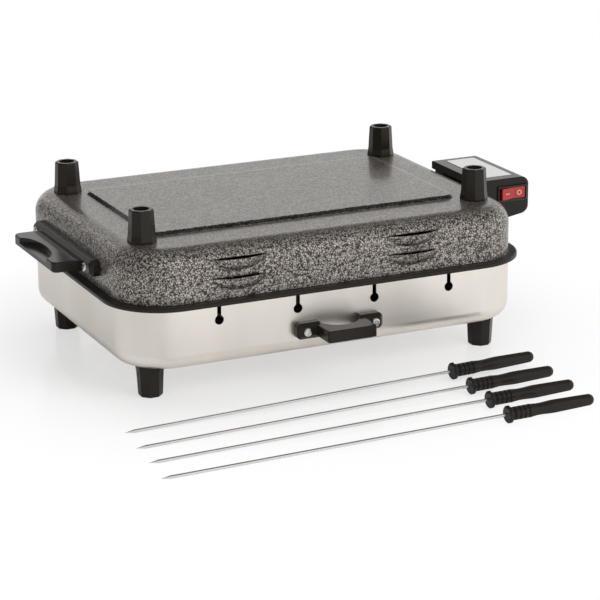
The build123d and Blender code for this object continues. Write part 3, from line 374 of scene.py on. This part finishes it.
# The rocker's two marks, a bar and a ring. tilt, apex and pivot are those of the rocker's own shape, and
# bezel is how far the box's wall lies behind the bezel's front.
marks = {"tilt": 7.0, "apex": 0.0012, "pivot": 0.0035, "bezel": 0.0018, "place": 0.0072,
         "barSize": (0.0050, 0.0011), "ringRadii": (0.0027, 0.0017), "ringSteps": 32,
         "sink": 0.00002, "thickness": 0.00012}


# Where a mark stands: on the left (-1) or right (1) half of the rocker's face, with -Y as its front
def markPlacement(side):
    tilt = math.radians(marks["tilt"])
    switchLow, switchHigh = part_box("switch_body")
    middle = Vector(((switchLow[0] + switchHigh[0]) / 2, switchLow[1] + marks["bezel"],
                     (switchLow[2] + switchHigh[2]) / 2))
    along = side * marks["place"]
    face = -marks["apex"] - abs(along) * math.tan(tilt)
    return (Matrix.Translation(middle + Vector((0, marks["pivot"], 0)))
            @ Matrix.Rotation(tilt, 4, "Z")
            @ Matrix.Translation(Vector((along, face - marks["pivot"], 0)))
            @ Matrix.Rotation(-side * tilt, 4, "Z"))


# One outline gives a solid bar, and two give a ring. The face that lies in the rocker is left open.
def rockerMark(name, side, outlines):
    place = markPlacement(side)
    verts = [place @ Vector((x, y, z)) for y in (marks["sink"], -marks["thickness"])
             for outline in outlines for x, z in outline]
    size = len(outlines[0])
    pairs = [(i, (i + 1) % size) for i in range(size)]
    if len(outlines) == 1:
        faces = [list(range(size, 2 * size))]
        faces += [[i, j, size + j, size + i] for i, j in pairs]
    else:
        faces = []
        for i, j in pairs:
            faces.append([2 * size + i, 2 * size + j, 3 * size + j, 3 * size + i])  # front
            faces.append([i, j, 2 * size + j, 2 * size + i])  # outer wall
            faces.append([size + j, size + i, 3 * size + i, 3 * size + j])  # inner wall
    mesh = bpy.data.meshes.new(name)
    mesh.from_pydata(verts, [], faces)
    mesh.materials.append(markPaint)
    piece = bpy.data.objects.new(name, mesh)
    bpy.context.collection.objects.link(piece)
    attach(piece, "rocker")


barX, barZ = (value / 2 for value in marks["barSize"])
barOutline = [(-barX, -barZ), (barX, -barZ), (barX, barZ), (-barX, barZ)]
ringAngles = [math.tau * i / marks["ringSteps"] for i in range(marks["ringSteps"])]
ringOutlines = [[(radius * math.cos(angle), radius * math.sin(angle)) for angle in ringAngles]
                for radius in marks["ringRadii"]]
rockerMark("rockerBar", -1, [barOutline])
rockerMark("rockerRing", 1, ringOutlines)
print("stage: rocker marks placed")

# Pale glossy floor, whiter for the camera from fadeStart to fadeEnd metres away from the grill's centre,
# so that the shadow stays and the background is white
floorLook = {"color": (0.94, 0.94, 0.935), "roughness": 0.10, "specular": 0.25, "size": 9.0,
             "drop": 0.0004, "fadeStart": (0.20, 0.58), "fadeEnd": (0.40, 1.0)}


def floorMaterial():
    mat, tree, shader = newMaterial("stageFloor")
    feed(tree, shader, {"Base Color": (*floorLook["color"], 1), "Roughness": floorLook["roughness"],
                        "Specular IOR Level": floorLook["specular"]})
    distance = addNode(tree, "ShaderNodeVectorMath", operation="LENGTH")
    feed(tree, distance, {0: objectSpace(tree)})
    fade = smoothStep(tree, distance.outputs["Value"], floorLook["fadeStart"], floorLook["fadeEnd"])
    seen = mathNode(tree, "MULTIPLY", addNode(tree, "ShaderNodeLightPath").outputs["Is Camera Ray"], fade)
    white = addNode(tree, "ShaderNodeEmission").outputs[0]
    feed(tree, tree.nodes["Material Output"], {"Surface": mixShaders(tree, seen, shader.outputs[0], white)})
    return mat


bpy.ops.mesh.primitive_plane_add(size=floorLook["size"], location=(grillX, grillY, -floorLook["drop"]))
floor = bpy.context.object
floor.name = "stageFloor"
floor.data.materials.append(floorMaterial())

# Studio: white backdrop for the camera and round the horizon in gloss, darker to the left and overhead.
# In left and overhead each pair is a direction's X or Y and the brightness there; in backdropTop, its Z
# and how far the horizon has given way to what is overhead.
studio = {"ambient": 0.45, "backdrop": 1.0, "left": ((-0.42, 0.30), (-0.05, 1.0)),
          "overhead": ((-0.68, 0.78), (-0.38, 0.18)), "backdropTop": ((0.40, 0.0), (0.56, 1.0))}


def buildWorld():
    world = bpy.data.worlds.new("studio")
    bpy.context.scene.world = world
    world.use_nodes = True
    tree = world.node_tree
    tree.nodes.clear()

    def background(strength):
        node = addNode(tree, "ShaderNodeBackground")
        feed(tree, node, {"Color": (1, 1, 1, 1), "Strength": strength})
        return node

    axes = splitAxes(tree, addNode(tree, "ShaderNodeTexCoord").outputs["Generated"])
    horizon = smoothStep(tree, axes["X"], *studio["left"])
    overhead = smoothStep(tree, axes["Y"], *studio["overhead"])
    above = smoothStep(tree, axes["Z"], *studio["backdropTop"])
    sky = mathNode(tree, "ADD",
                   mathNode(tree, "MULTIPLY", horizon, mathNode(tree, "SUBTRACT", 1.0, above)),
                   mathNode(tree, "MULTIPLY", overhead, above))
    skyColor = addNode(tree, "ShaderNodeCombineColor")
    feed(tree, skyColor, {0: sky, 1: sky, 2: sky})
    inGloss = background(studio["backdrop"])
    feed(tree, inGloss, {"Color": skyColor.outputs[0]})
    path = addNode(tree, "ShaderNodeLightPath").outputs
    shiny = mathNode(tree, "MAXIMUM", path["Is Glossy Ray"], path["Is Transmission Ray"])
    light = mixShaders(tree, shiny, background(studio["ambient"]).outputs[0], inGloss.outputs[0])
    light = mixShaders(tree, path["Is Camera Ray"], light, background(studio["backdrop"]).outputs[0])
    feed(tree, addNode(tree, "ShaderNodeOutputWorld"), {"Surface": light})


buildWorld()

# Soft boxes; each aim is measured from the grill's centre on the table
lamps = {"keySoftBox": {"place": (0.9, -2.0, 1.6), "aim": (0.0, 0.0, 0.08), "size": (1.6, 1.2), "power": 30},
         "fillSoftBox": {"place": (-1.5, -1.5, 1.0), "aim": (-0.1, -0.1, 0.08), "size": (1.2, 1.0), "power": 6},
         "topSoftBox": {"place": (0.2, 0.5, 2.2), "aim": (0.0, 0.0, 0.0), "size": (2.0, 1.6), "power": 12}}
for name, values in lamps.items():
    data = bpy.data.lights.new(name, "AREA")
    data.shape = "RECTANGLE"
    data.size, data.size_y = values["size"]
    data.energy = values["power"]
    lamp = bpy.data.objects.new(name, data)
    lamp.visible_glossy = False  # the gloss shows the backdrop, not the lamps
    bpy.context.collection.objects.link(lamp)
    lamp.location = values["place"]
    aim = Vector((grillX + values["aim"][0], grillY + values["aim"][1], values["aim"][2]))
    lamp.rotation_euler = (aim - Vector(values["place"])).to_track_quat("-Z", "Y").to_euler()

# Camera at the photograph's viewing angle; the target is measured from the grill's centre on the table
shot = {"azimuth": -24.86, "height": 17.20, "distance": 2.3683, "roll": -0.42,
        "target": (0.0356, 0.0, 0.0309), "lens": 142.33, "sensor": 36.0, "shiftX": -0.005, "clipEnd": 30.0}
azimuth, height, roll = (math.radians(shot[key]) for key in ("azimuth", "height", "roll"))
target = Vector(shot["target"]) + Vector((grillX, grillY, 0))
away = Vector((math.sin(azimuth) * math.cos(height), -math.cos(azimuth) * math.cos(height), math.sin(height)))
cameraData = bpy.data.cameras.new("photoCamera")
cameraData.lens = shot["lens"]
cameraData.sensor_width = shot["sensor"]
cameraData.shift_x = shot["shiftX"]
cameraData.clip_end = shot["clipEnd"]
camera = bpy.data.objects.new("photoCamera", cameraData)
bpy.context.collection.objects.link(camera)
camera.location = target + away * shot["distance"]
turn = (-away).to_track_quat("-Z", "Y").to_matrix() @ Matrix.Rotation(roll, 3, "Z")
camera.rotation_euler = turn.to_euler()
bpy.context.scene.camera = camera
bpy.context.scene.view_settings.view_transform = "Standard"
print("stage: camera and lights set")
